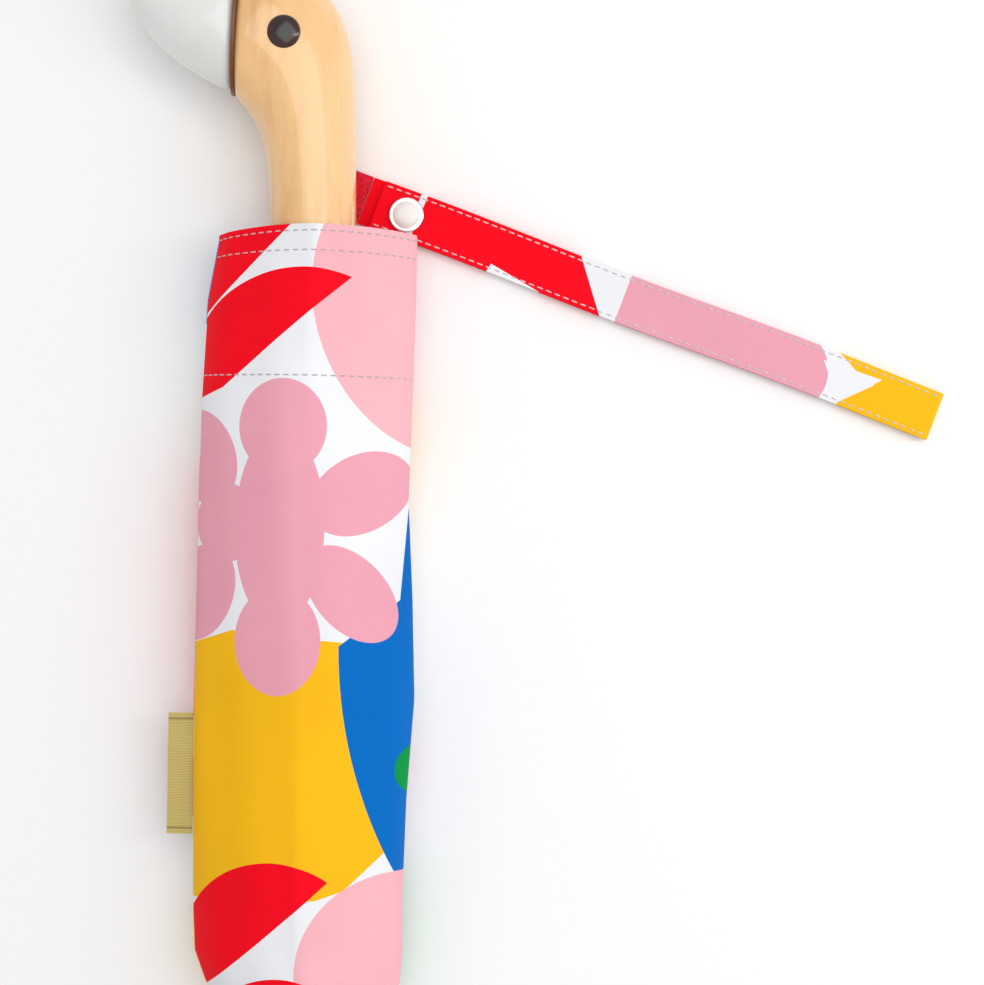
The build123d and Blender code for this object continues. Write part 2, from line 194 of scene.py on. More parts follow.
# ---- shader graphs --------------------------------------------------------------------------
class Graph:
    """A material's node tree with short calls for the nodes that the finishes share."""

    def __init__(self, name):
        self.material = bpy.data.materials.new(name)
        self.material.use_nodes = True
        self.tree = self.material.node_tree
        self.shader = self.tree.nodes["Principled BSDF"]
        self.column = 0

    def node(self, kind, **settings):
        made = self.tree.nodes.new(kind)
        self.column -= 180
        made.location = (self.column, 0)
        for key, value in settings.items():
            setattr(made, key, value)
        return made

    def feed(self, socket, value):
        if isinstance(value, bpy.types.NodeSocket):
            self.tree.links.new(value, socket)
        else:
            socket.default_value = value

    def set(self, **values):
        for key, value in values.items():
            self.feed(self.shader.inputs[key.replace("_", " ")], value)

    def math(self, operation, a, b=0.0, c=0.0, clamp=False):
        made = self.node("ShaderNodeMath", operation=operation, use_clamp=clamp)
        for socket, value in zip(made.inputs, (a, b, c)):
            self.feed(socket, value)
        return made.outputs[0]

    def mix(self, share, a, b):
        made = self.node("ShaderNodeMix", data_type="RGBA")
        self.feed(made.inputs[0], share)
        for socket, value in ((made.inputs[6], a), (made.inputs[7], b)):
            self.feed(socket, value if isinstance(value, bpy.types.NodeSocket) else (*value[:3], 1.0))
        return made.outputs[2]

    def object_space(self, scale=(1, 1, 1), turn=(0, 0, 0), move=(0, 0, 0)):
        place = self.node("ShaderNodeTexCoord").outputs["Object"]
        mapping = self.node("ShaderNodeMapping")
        self.feed(mapping.inputs["Vector"], place)
        mapping.inputs["Scale"].default_value = scale
        mapping.inputs["Rotation"].default_value = turn
        mapping.inputs["Location"].default_value = move
        return mapping.outputs[0]

    def noise(self, vector, scale, detail=3.0, roughness=0.5, distortion=0.0):
        made = self.node("ShaderNodeTexNoise")
        self.feed(made.inputs["Vector"], vector)
        made.inputs["Scale"].default_value = scale
        made.inputs["Detail"].default_value = detail
        made.inputs["Roughness"].default_value = roughness
        made.inputs["Distortion"].default_value = distortion
        return made.outputs["Fac"]

    def wave(self, vector, scale, direction="X", distortion=0.0, detail=2.0, profile="SIN"):
        made = self.node("ShaderNodeTexWave", bands_direction=direction, wave_profile=profile)
        self.feed(made.inputs["Vector"], vector)
        made.inputs["Scale"].default_value = scale
        made.inputs["Distortion"].default_value = distortion
        made.inputs["Detail"].default_value = detail
        return made.outputs["Fac"]

    def ramp(self, value, low, high, to_low=0.0, to_high=1.0):
        made = self.node("ShaderNodeMapRange")
        for key, number in zip(("From Min", "From Max", "To Min", "To Max"), (low, high, to_low, to_high)):
            made.inputs[key].default_value = number
        self.feed(made.inputs["Value"], value)
        return made.outputs[0]

    def bump(self, height, strength, distance):
        made = self.node("ShaderNodeBump")
        made.inputs["Strength"].default_value = strength
        made.inputs["Distance"].default_value = distance
        self.feed(made.inputs["Height"], height)
        self.feed(self.shader.inputs["Normal"], made.outputs[0])


class Print:
    """The bold cut-out shapes of the cloth's print, laid one over another in millimetres."""

    def __init__(self, graph, ground, scale=1000.0):
        self.graph = graph
        uv = graph.node("ShaderNodeUVMap", uv_map="cloth").outputs[0]
        big = graph.node("ShaderNodeVectorMath", operation="SCALE")
        graph.feed(big.inputs[0], uv)
        big.inputs["Scale"].default_value = scale
        parts = graph.node("ShaderNodeSeparateXYZ")
        graph.feed(parts.inputs[0], big.outputs[0])
        self.x, self.y = parts.outputs[0], parts.outputs[1]
        self.colour = graph.mix(0.0, ground, ground)

    def ellipse(self, cx, cy, rx, ry, turn=0.0):
        """1 inside an ellipse, 0 outside."""
        g = self.graph
        c, s = math.cos(math.radians(turn)), math.sin(math.radians(turn))
        dx, dy = g.math("SUBTRACT", self.x, cx), g.math("SUBTRACT", self.y, cy)
        along = g.math("MULTIPLY_ADD", dx, c / rx, g.math("MULTIPLY", dy, s / rx))
        across = g.math("MULTIPLY_ADD", dx, -s / ry, g.math("MULTIPLY", dy, c / ry))
        square = g.math("MULTIPLY_ADD", along, along, g.math("MULTIPLY", across, across))
        return g.math("LESS_THAN", square, 1.0)

    def beyond(self, px, py, qx, qy):
        """1 to the left of the line from p to q, 0 to its right."""
        g = self.graph
        nx, ny = -(qy - py), qx - px
        dot = g.math("MULTIPLY_ADD", self.x, nx, g.math("MULTIPLY", self.y, ny))
        return g.math("GREATER_THAN", dot, px * nx + py * ny)

    def all_of(self, *masks):
        share = masks[0]
        for mask in masks[1:]:
            share = self.graph.math("MULTIPLY", share, mask)
        return share

    def any_of(self, *masks):
        share = masks[0]
        for mask in masks[1:]:
            share = self.graph.math("MAXIMUM", share, mask)
        return share

    def polygon(self, *corners):
        """1 inside a convex polygon whose corners run anticlockwise."""
        sides = zip(corners, corners[1:] + corners[:1])
        return self.all_of(*[self.beyond(*p, *q) for p, q in sides])

    def lay(self, mask, colour):
        self.colour = self.graph.mix(mask, self.colour, colour)

    def flower(self, cx, cy, size, colour, turn=0.0, petals=6, reach=1.0, width=0.46):
        masks = [self.ellipse(cx, cy, size * 0.5, size * 0.5)]
        for k in range(petals):
            a = math.radians(turn + k * 360 / petals)
            centre = (cx + math.cos(a) * size * 0.72 * reach, cy + math.sin(a) * size * 0.72 * reach)
            masks.append(self.ellipse(*centre, size * 0.5, size * width, math.degrees(a)))
        self.lay(self.any_of(*masks), colour)


def shade(g, colour, amount=0.06):
    """Slow, faint changes of a cloth's or paint's colour over the piece."""
    cloud = g.noise(g.object_space(), 22.0, 4.0)
    dark = g.node("ShaderNodeHueSaturation")
    dark.inputs["Value"].default_value = 1.0 - amount
    g.feed(dark.inputs["Color"], colour)
    return g.mix(g.ramp(cloud, 0.35, 0.65), dark.outputs[0], colour)


def weave_bump(g, pitch=0.00042, strength=0.35, depth=0.00005):
    """A plain weave: threads crossing over and under, with a little slub."""
    uv = g.node("ShaderNodeUVMap", uv_map="cloth").outputs[0]
    across = g.wave(uv, 0.5 / pitch / math.pi, "X")
    along = g.wave(uv, 0.5 / pitch / math.pi, "Y")
    threads = g.math("MULTIPLY", across, along)
    slub = g.noise(g.object_space((300, 60, 300)), 3.0, 3.0)
    g.bump(g.math("MULTIPLY_ADD", slub, 0.5, threads), strength, depth)


def cloth_finish(g, colour, sheen=0.03, roughness=0.75):
    g.set(Base_Color=shade(g, colour), Roughness=roughness)
    g.shader.inputs["Sheen Weight"].default_value = sheen
    g.shader.inputs["Sheen Roughness"].default_value = 0.5
    g.shader.inputs["Specular IOR Level"].default_value = 0.08
    weave_bump(g)
    return g.material


def sleeve_print(s):
    """The sleeve's print: front panel round x = 0, back panel round x = 200."""
    g = Graph("sleeve_cloth")
    p = Print(g, s.ground)
    p.lay(p.ellipse(38, 96, 35.5, 46, 20), s.blush)
    # a broad leaf reaching in from the left, and its white slit
    p.lay(p.beyond(-60, 65.6, -4, 122.7), s.red)
    leaf_sides = (p.beyond(-26.1, 71.2, 11.7, 103.9), p.beyond(-60, 57.0, -26.1, 71.2))
    p.lay(p.all_of(p.ellipse(-1.5, 72.5, 37.5, 35.3), *leaf_sides), s.red)
    # the yellow field, with the blue field at its right
    p.lay(p.polygon((-60, -86.5), (5.3, -83.6), (13.6, -81), (25.7, -70), (60, -20), (12.2, -5.6), (-21.7, -2.6), (-60, -16)), s.yellow)
    blue_sides = (p.beyond(28.9, 7.0, 11.3, -6.6), p.beyond(0, -76, 1, -76))
    p.lay(p.all_of(p.ellipse(164, -5, 152.9, 152.9), *blue_sides), s.blue)
    p.lay(p.polygon((28.9, 5), (60, -10), (60, 60), (32.4, 55)), s.blue)
    p.lay(p.ellipse(36.5, -45, 8.2, 8.2), s.green)
    # the flower
    petals = [
        p.ellipse(-7.0, 59.5, 13.5, 14.5, 0),
        p.ellipse(-7.5, 29.0, 13.8, 30.0, 0),
        p.ellipse(-7.5, -5.5, 13.2, 16.5, 0),
        p.ellipse(17.0, 39.5, 16.5, 11.6, 30),
        p.ellipse(14.5, 9.0, 17.5, 10.6, -48),
        p.ellipse(-32.0, 50.0, 10.5, 15.0, 20),
        p.ellipse(-32.0, 8.5, 10.5, 15.5, -20),
        p.ellipse(-24.0, 30.0, 10.0, 12.0, 0),
    ]
    p.lay(p.any_of(*petals), s.pink)
    # shapes at the closed end
    p.lay(p.all_of(p.ellipse(-8, -100, 28, 27.5), p.beyond(-27.4, -111, 8.6, -78.6)), s.red)
    p.lay(p.ellipse(30, -106, 30.5, 30), s.blush)
    p.lay(p.ellipse(-5, -132, 24, 24.5), s.red)
    # the back panel
    p.lay(p.polygon((150, -130), (250, -130), (250, 130), (150, 130)), s.ground)
    p.lay(p.polygon((225, -130), (260, -130), (260, -8), (232, 20)), s.blue)
    p.lay(p.ellipse(238, 95, 34, 40), s.blush)
    p.lay(p.ellipse(166, 10, 26, 42, 15), s.red)
    p.lay(p.polygon((150, 86), (172, 92), (181, 130), (150, 130)), s.blue)
    p.flower(203, 52, 26, s.yellow, 20, 5)
    p.flower(196, -48, 28, s.pink, 10, 6)
    p.lay(p.ellipse(222, -100, 22, 28, 30), s.green)
    p.lay(p.ellipse(172, -110, 20, 22, 0), s.yellow)
    return cloth_finish(g, p.colour)


def strap_print(s):
    """The strap's print, along its length from the root."""
    g = Graph("strap_cloth")
    p = Print(g, s.ground)
    p.lay(p.polygon((-30, -20), (15.8, -20), (15.8, 20), (-30, 20)), s.red)
    p.lay(p.polygon((17.4, -2.0), (17.0, -20), (80, -20), (85, -9.3), (69.5, 7.7), (60, 20), (18.6, 20)), s.red)
    p.lay(p.polygon((43.9, -5.0), (40.5, -20), (67, -20), (61, -7.7)), s.ground)
    p.lay(p.polygon((43.9, -5.0), (51, -20), (95, -20), (61, -7.7)), s.ground)
    p.lay(p.polygon((86.5, -20), (145, -20), (145, 20), (73.2, 20), (73.2, 6.5), (86.5, -9.0)), s.pink)
    p.lay(p.ellipse(141, -3.5, 14.5, 14), s.pink)
    amber = tuple(s.yellow)
    p.lay(p.polygon((133.0, 8.2), (165.5, 2.9), (210, -20), (210, 20), (133, 20)), amber)
    p.lay(p.polygon((158.5, -20), (210, -20), (210, 20), (172, 4.5), (160.8, -7.0)), amber)
    p.lay(p.polygon((152.2, 3.8), (160.8, -7.0), (171.5, 4.6)), s.ground)
    return cloth_finish(g, p.colour)


def lacquered_wood(s):
    """Maple under a thick clear lacquer: fine streaks along the neck, broad paler patches and dark pores."""
    g = Graph("maple")
    place = g.object_space((1.0, 0.16, 1.0))
    streaks = g.noise(place, 420.0, 6.0, 0.62, 0.35)
    bands = g.noise(g.object_space((1.0, 0.05, 1.0)), 130.0, 4.0, 0.5, 1.1)
    broad = g.noise(g.object_space((1.0, 0.30, 1.0), (0, 0, 0.25)), 34.0, 3.0)
    grain = g.math("MULTIPLY_ADD", streaks, 0.45, g.math("MULTIPLY", bands, 0.55))
    base = g.mix(g.ramp(grain, 0.42, 0.66), s.wood, s.wood_dark)
    pale = tuple(min(1.0, c * 1.12 + 0.04) for c in s.wood)
    colour = g.mix(g.ramp(broad, 0.40, 0.62, 0.0, 0.75), base, pale)
    pores = g.noise(g.object_space((1.0, 0.03, 1.0)), 1600.0, 2.0)
    colour = g.mix(g.ramp(pores, 0.68, 0.76, 0.0, 0.35), colour, s.wood_dark)
    g.set(Base_Color=colour, Roughness=g.ramp(grain, 0.3, 0.7, 0.30, 0.42))
    g.shader.inputs["Coat Weight"].default_value = 0.9
    g.shader.inputs["Coat Roughness"].default_value = 0.06
    g.bump(grain, 0.06, 0.0002)
    return g.material


def lacquered_bill(s):
    """White lacquer with a faint orange-peel surface."""
    g = Graph("bill_lacquer")
    cloud = g.noise(g.object_space(), 60.0, 3.0)
    grey = tuple(c * 0.93 for c in s.bill)
    g.set(Base_Color=g.mix(g.ramp(cloud, 0.35, 0.65), s.bill, grey), Roughness=g.ramp(cloud, 0.3, 0.7, 0.22, 0.30))
    g.shader.inputs["Coat Weight"].default_value = 0.6
    g.shader.inputs["Coat Roughness"].default_value = 0.08
    g.bump(g.noise(g.object_space(), 900.0, 2.0), 0.05, 0.0001)
    return g.material


def seam_varnish():
    """The dark line where the bill meets the head: partly a dark groove, partly painted shade of the gap between the
    two pieces.
    """
    g = Graph("seam_varnish")
    g.set(Base_Color=g.mix(g.noise(g.object_space(), 700.0), (0.10, 0.025, 0.008), (0.24, 0.075, 0.02)), Roughness=0.35)
    return g.material


def eye_resin(radius):
    """Brown resin with a black pupil in its middle."""
    g = Graph("eye_resin")
    parts = g.node("ShaderNodeSeparateXYZ")
    g.feed(parts.inputs[0], g.object_space(move=(0.009, -0.1789, 0)))
    x, y = parts.outputs[0], parts.outputs[1]
    away = g.math("SQRT", g.math("MULTIPLY_ADD", x, x, g.math("MULTIPLY", y, y)))
    rim = g.ramp(away, radius * 0.45, radius * 0.72)
    iris = g.mix(g.noise(g.object_space(), 900.0, 4.0), (0.020, 0.004, 0.003), (0.050, 0.012, 0.008))
    g.set(Base_Color=g.mix(rim, (0.001, 0.001, 0.001), iris), Roughness=0.25)
    g.shader.inputs["Coat Weight"].default_value = 0.4
    g.shader.inputs["Coat Roughness"].default_value = 0.02
    return g.material


def metal(name, colour, roughness, brushed=(1, 1, 1), metallic=1.0, scale=900.0):
    """A metal or moulded finish with fine tool marks along one direction."""
    g = Graph(name)
    marks = g.noise(g.object_space(brushed), scale, 3.0)
    stain = g.noise(g.object_space(), 45.0, 3.0)
    dull = tuple(c * 0.72 for c in colour)
    g.set(
        Base_Color=g.mix(g.ramp(stain, 0.42, 0.72), colour, dull),
        Roughness=g.ramp(marks, 0.3, 0.7, roughness * 0.8, roughness * 1.25),
        Metallic=metallic,
    )
    g.bump(marks, 0.10, 0.00008)
    return g.material


def thread_finish(name, colour):
    """Sewing thread: two plies twisted along each stitch, with painted shade darkening the grooves between the plies.
    """
    g = Graph(name)
    ply = g.wave(g.object_space(turn=(0.4, 0.6, 0.8)), 900.0, "DIAGONAL", 1.0)
    # Painted shade: the colour drops to 0.72 where the ply wave is low, in the same grooves the bump sinks.
    g.set(Base_Color=g.mix(g.ramp(ply, 0.1, 0.8), tuple(c * 0.72 for c in colour), colour), Roughness=0.55)
    g.shader.inputs["Sheen Weight"].default_value = 0.3
    g.bump(ply, 0.4, 0.00005)
    return g.material


def woven_label(s):
    """A woven tab: ribbed weft with painted shade in the grooves between the ribs, and a plain darker border line along
    each edge.
    """
    g = Graph("label_cloth")
    uv = g.node("ShaderNodeUVMap", uv_map="cloth").outputs[0]
    parts = g.node("ShaderNodeSeparateXYZ")
    g.feed(parts.inputs[0], uv)
    weft = g.wave(uv, 620.0, "Y")
    edge = g.math("ABSOLUTE", parts.outputs[1])
    border = g.math("MULTIPLY", g.math("GREATER_THAN", edge, 0.0165), g.math("LESS_THAN", edge, 0.0172))
    # Painted shade: the ground drops to 0.66 of the label colour where the weft wave is low, in the grooves the bump
    # sinks.
    ground = g.mix(g.ramp(weft, 0.1, 0.9), tuple(c * 0.66 for c in s.label), s.label)
    dark = tuple(c * 0.45 for c in s.label)
    g.set(Base_Color=shade(g, g.mix(border, ground, dark)), Roughness=0.5)
    g.shader.inputs["Sheen Weight"].default_value = 0.35
    g.bump(weft, 0.5, 0.00008)
    return g.material


# ---- modelling helpers ----------------------------------------------------------------------
def clear_selection():
    if bpy.context.object and bpy.context.object.mode != "OBJECT":
        bpy.ops.object.mode_set(mode="OBJECT")
    bpy.ops.object.select_all(action="DESELECT")


def settle(piece, name, material, body, replaced=(), smooth=40):
    """Places a finished piece: applied transforms, its finish, its body and what it stands for."""
    clear_selection()
    bpy.context.view_layer.objects.active = piece
    piece.select_set(True)
    bpy.ops.object.transform_apply(location=True, rotation=True, scale=True)
    if smooth:
        bpy.ops.object.shade_smooth_by_angle(angle=math.radians(smooth))
    clear_selection()
    piece.name = piece.data.name = name
    piece.data.materials.clear()
    piece.data.materials.append(material)
    if body:
        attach(piece, body)
    if replaced:
        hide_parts(*replaced)
    return piece


def apply_modifier(piece, kind, **settings):
    """Adds one modifier and applies it."""
    clear_selection()
    bpy.context.view_layer.objects.active = piece
    piece.select_set(True)
    modifier = piece.modifiers.new(kind.title(), kind)
    for key, value in settings.items():
        setattr(modifier, key, value)
    bpy.ops.object.modifier_apply(modifier=modifier.name)


def edit(piece):
    clear_selection()
    bpy.context.view_layer.objects.active = piece
    piece.select_set(True)
    bpy.ops.object.mode_set(mode="EDIT")
    return bmesh.from_edit_mesh(piece.data)


def pick(piece, kind, test):
    """Selects the vertices, edges or faces that pass a test, in edit mode."""
    mesh = bmesh.from_edit_mesh(piece.data)
    bpy.ops.mesh.select_mode(type={"verts": "VERT", "edges": "EDGE", "faces": "FACE"}[kind])
    bpy.ops.mesh.select_all(action="DESELECT")
    for element in getattr(mesh, kind):
        element.select_set(bool(test(element)))
    mesh.select_flush_mode()
    bmesh.update_edit_mesh(piece.data)


def ring_body(rings, points=24):
    """A carved body: one circle per section, each bridged to the one before, then closed at both ends.

    Each ring is (centre, direction across in the XY plane, half width, half thickness along Z)."""
    clear_selection()
    for index, (centre, across, half, thick) in enumerate(rings):
        u = Vector((across[0], across[1], 0)).normalized()
        z = Vector((0, 0, 1))
        turn = Matrix((u, z, u.cross(z))).transposed().to_euler()
        bpy.ops.mesh.primitive_circle_add(vertices=points, radius=half, location=centre, rotation=turn)
        if index == 0:
            piece = bpy.context.object
            bpy.ops.object.transform_apply(location=True, rotation=True, scale=True)
            bpy.ops.object.mode_set(mode="EDIT")
            bpy.ops.mesh.select_all(action="SELECT")
        bpy.ops.transform.resize(value=(1, 1, thick / half), orient_type="GLOBAL", center_override=centre)
        if index:
            first = (index - 1) * points
            pick(piece, "verts", lambda v: first <= v.index < first + 2 * points)
            bpy.ops.mesh.bridge_edge_loops()
    for first in (0, (len(rings) - 1) * points):
        pick(piece, "verts", lambda v: first <= v.index < first + points)
        bpy.ops.mesh.edge_face_add()
        bpy.ops.mesh.inset(thickness=min(rings[0 if first == 0 else -1][2:]) * 0.25)
    bpy.ops.mesh.select_all(action="SELECT")
    bpy.ops.mesh.normals_make_consistent(inside=False)
    bpy.ops.object.mode_set(mode="OBJECT")
    return piece


def between(low, high, thick):
    """A ring through a throat point and a crown point, in millimetres, with its thickness."""
    centre = ((low[0] + high[0]) / 2000, (low[1] + high[1]) / 2000, AXIS_Z)
    run = Vector((high[0] - low[0], high[1] - low[1]))
    return centre, run, run.length / 2000, thick / 2000


def mesh_piece(name, points, faces, uvs=None):
    """A sheet from its points and faces, with cloth coordinates in metres where given."""
    mesh = bpy.data.meshes.new(name)
    mesh.from_pydata([tuple(p) for p in points], [], faces)
    if uvs is not None:
        layer = mesh.uv_layers.new(name="cloth")
        flat = [uvs[loop.vertex_index] for loop in mesh.loops] if not callable(uvs) else uvs(mesh)
        for loop, uv in zip(layer.data, flat):
            loop.uv = uv
    mesh.update()
    piece = bpy.data.objects.new(name, mesh)
    bpy.context.scene.collection.objects.link(piece)
    return piece


def grid_faces(rows, columns, closed=False):
    """Quads over a grid of points stored row by row."""
    faces = []
    for r in range(rows - 1):
        for c in range(columns if closed else columns - 1):
            n = (c + 1) % columns
            faces.append((r * columns + c, r * columns + n, (r + 1) * columns + n, (r + 1) * columns + c))
    return faces


STITCH_RINGS = ((0.0, 0.35, -0.6), (0.15, 0.9, 0.1), (0.5, 1.0, 0.45), (0.85, 0.9, 0.1), (1.0, 0.35, -0.6))


def stitch_row(points, normals, length, gap, radius=0.00022):
    """Points and faces of a row of stitches laid along a line, each a short six-sided thread."""
    verts, faces = [], []
    travel, segments = [0.0], []
    for a, b in zip(points, points[1:]):
        travel.append(travel[-1] + (b - a).length)
    total = travel[-1]

    def at(distance):
        k = max(i for i in range(len(travel) - 1) if travel[i] <= distance + 1e-9)
        t = (distance - travel[k]) / max(1e-9, travel[k + 1] - travel[k])
        return points[k].lerp(points[k + 1], t), normals[k].lerp(normals[k + 1], t).normalized()

    start = gap
    while start + length < total:
        base = len(verts)
        for share, size, lift in STITCH_RINGS:
            place, up = at(start + share * length)
            ahead = (at(min(total, start + share * length + 1e-4))[0] - place).normalized()
            side = ahead.cross(up).normalized()
            for k in range(6):
                a = k * math.pi / 3
                high, wide = math.sin(a) * size, math.cos(a) * size
                verts.append(place + up * radius * (lift + high) + side * radius * wide)
        for ring in range(4):
            for k in range(6):
                n = (k + 1) % 6
                low = base + ring * 6
                faces.append((low + k, low + n, low + 6 + n, low + 6 + k))
        faces.append(tuple(base + 5 - k for k in range(6)))
        faces.append(tuple(base + 24 + k for k in range(6)))
        start += length + gap
    return verts, faces


def stitches(name, rows, body, material, length, gap):
    """All the stitch rows of one seam as one piece."""
    verts, faces = [], []
    for points, normals in rows:
        more, quads = stitch_row(points, normals, length, gap)
        faces += [tuple(i + len(verts) for i in face) for face in quads]
        verts += more
    piece = mesh_piece(name, verts, faces)
    clear_selection()
    edit(piece)
    bpy.ops.mesh.select_all(action="SELECT")
    bpy.ops.mesh.normals_make_consistent(inside=False)
    bpy.ops.object.mode_set(mode="OBJECT")
    return settle(piece, name, material, body, smooth=60)


# ---- handle ---------------------------------------------------------------------------------
HEAD = (
    ((-12.5, 92.0), (12.5, 92.0), 25.0),
    ((-12.5, 103.0), (12.5, 103.0), 25.0),
    ((-13.4, 105.0), (13.4, 105.0), 26.8),
    ((-13.4, 126.0), (13.4, 126.0), 26.8),
    ((-14.1, 137.0), (13.1, 138.5), 26.8),
    ((-15.4, 145.5), (12.8, 151.0), 27.2),
    ((-17.6, 151.5), (12.4, 165.0), 28.4),
    ((-20.1, 155.4), (11.0, 181.0), 30.0),
    ((-22.2, 158.0), (3.5, 194.5), 31.0),
    ((-23.8, 159.8), (-9.0, 202.6), 31.2),
    ((-25.0, 161.4), (-23.0, 204.2), 30.2),
)
BILL = (
    ((-25.5, 161.6), (-23.5, 204.0), 30.0),
    ((-37.2, 167.4), (-35.0, 202.6), 26.5),
    ((-46.9, 174.1), (-45.5, 202.8), 22.0),
    ((-53.2, 181.2), (-52.5, 203.0), 17.0),
    ((-57.2, 188.0), (-56.8, 201.6), 11.0),
    ((-59.0, 193.0), (-58.8, 199.4), 5.0),
)
EYE = (-0.0090, 0.1789)


def carved(name, sections, material, replaced):
    piece = ring_body([between(*section) for section in sections])
    apply_modifier(piece, "SUBSURF", levels=2, render_levels=2)
    return settle(piece, name, material, "handle", replaced, smooth=60)


class UMBRELLA_OT_handle(bpy.types.Operator):
    """Build the carved head, bill, seam and eyes"""

    bl_idname = "umbrella.handle"
    bl_label = "Handle"

    def execute(self, context):
        s = context.scene.umbrella_handle
        carved("head_carved", HEAD, lacquered_wood(s), ("duck_head",))
        carved("bill_carved", BILL, lacquered_bill(s), ("bill",))

        low, high = Vector((-25.25, 161.3)), Vector((-23.25, 204.3))
        centre, across, half, thick = between(low, high, 30.6)
        out = Vector((across[1], -across[0], 0)).normalized() * s.seam_width * 0.5
        rings = []
        for shift in (-1, 1):
            place = Vector(centre) + out * shift
            rings.append((tuple(place), across, half, thick))
        # A dark band round the joint: partly a dark groove, partly painted shade of the gap between head and bill.
        seam = ring_body(rings, points=64)
        settle(seam, "bill_seam", seam_varnish(), "handle", smooth=40)

        resin = eye_resin(s.eye_radius)
        for side, sign in (("front", 1), ("back", -1)):
            clear_selection()
            bpy.ops.mesh.primitive_uv_sphere_add(
                segments=48, ring_count=24, radius=1.0, location=(EYE[0], EYE[1], AXIS_Z + sign * 0.0150),
                scale=(s.eye_radius, s.eye_radius, 0.0018),
            )
            eye = bpy.context.object
            settle(eye, "eye_" + side, resin, "handle", ("eyes",), smooth=80)
        return {"FINISHED"}


# ---- sleeve ---------------------------------------------------------------------------------
LEFT_EDGE = (
    (-121.0, -19.0), (-118.0, -23.5), (-112.5, -28.5), (-101.8, -32.5), (-86.5, -33.4), (-55.7, -34.0), (-24.9, -34.2),
    (5.8, -33.9), (36.6, -33.8), (67.4, -33.5), (98.2, -32.2), (118.3, -29.2), (121.0, -29.0),
)
RIGHT_EDGE = (
    (-121.0, 27.5), (-118.0, 29.5), (-111.5, 30.8), (-100.7, 31.5), (-85.3, 31.2), (-54.5, 31.9), (-23.7, 33.8),
    (7.1, 32.6), (37.8, 30.8), (68.6, 31.5), (99.4, 32.1), (119.4, 32.1), (121.0, 32.0),
)
AROUND = 96
HALF_HEIGHT = 18.7  # the filled sleeve's half height, in millimetres as are the five below
SEAM_HALF = 1.0  # half height at the flat seam
END_FROM = -107.0  # where the closed end starts to round over
END_LENGTH = 14.0
MOUTH_FROM = 88.0  # where the sleeve starts to flatten towards its mouth
MOUTH_DROP = 3.5
RIM_Y = 121.0


def along_edge(table, y):
    for (y0, x0), (y1, x1) in zip(table, table[1:]):
        if y <= y1:
            t = max(0.0, (y - y0) / (y1 - y0))
            return x0 + (x1 - x0) * t
    return table[-1][1]


def sleeve_point(y, angle, depth):
    """A point of the sleeve's outer face: millimetres along the axis, radians around it."""
    left, right = along_edge(LEFT_EDGE, y), along_edge(RIGHT_EDGE, y)
    half, middle = (right - left) / 2, (right + left) / 2
    height = HALF_HEIGHT
    if y < END_FROM:
        share = (END_FROM - y) / END_LENGTH
        height = SEAM_HALF + (HALF_HEIGHT - SEAM_HALF) * math.sqrt(max(0.0, 1 - share**2))
    if y > MOUTH_FROM:
        t = (y - MOUTH_FROM) / (RIM_Y - MOUTH_FROM)
        height -= MOUTH_DROP * t * t * (3 - 2 * t)
    c, s = math.cos(angle), math.sin(angle)
    x = math.copysign(abs(c) ** (4 / 3), c)
    z = math.copysign(abs(s) ** (4 / 3), s)
    fold = 0.5 + 0.25 * math.sin(7 * angle + y * 0.021) + 0.25 * math.sin(11 * angle - y * 0.034 + 1.3)
    wrinkle = 0.25 * math.sin(y * 0.19 + 3 * angle) * math.exp(-((y + 112) / 16) ** 2)
    out = (depth * 1000) * max(0.0, fold + wrinkle) * min(1.0, height / 12) * max(0.0, s) ** 0.5
    run = Vector((c / half, 0, s / height)).normalized() * out
    rim = 0.0
    if y > 100:
        rim = (2.7 if x < 0 else 1.6) * x * x * (y - 100) / 21
    floor = max(0.35, AXIS_Z * 1000 + z * height + run.z - 2.0 * (x * x if s > 0 else x ** 4))
    return Vector((middle + x * half + run.x, y - rim, floor)) / 1000


def sleeve_row(below, depth):
    """A stitch row that follows the rim, a given distance below it, over the upper face."""
    y = RIM_Y - below
    points, normals = [], []
    for k in range(181):
        a = math.radians(4 + 172 * k / 180)
        here = sleeve_point(y, a, depth)
        side = sleeve_point(y, a + 0.01, depth) - sleeve_point(y, a - 0.01, depth)
        down = sleeve_point(y - 0.5, a, depth) - sleeve_point(y + 0.3, a, depth)
        normal = side.cross(down).normalized()
        if normal.z < 0:
            normal = -normal
        points.append(here)
        normals.append(normal)
    return points, normals


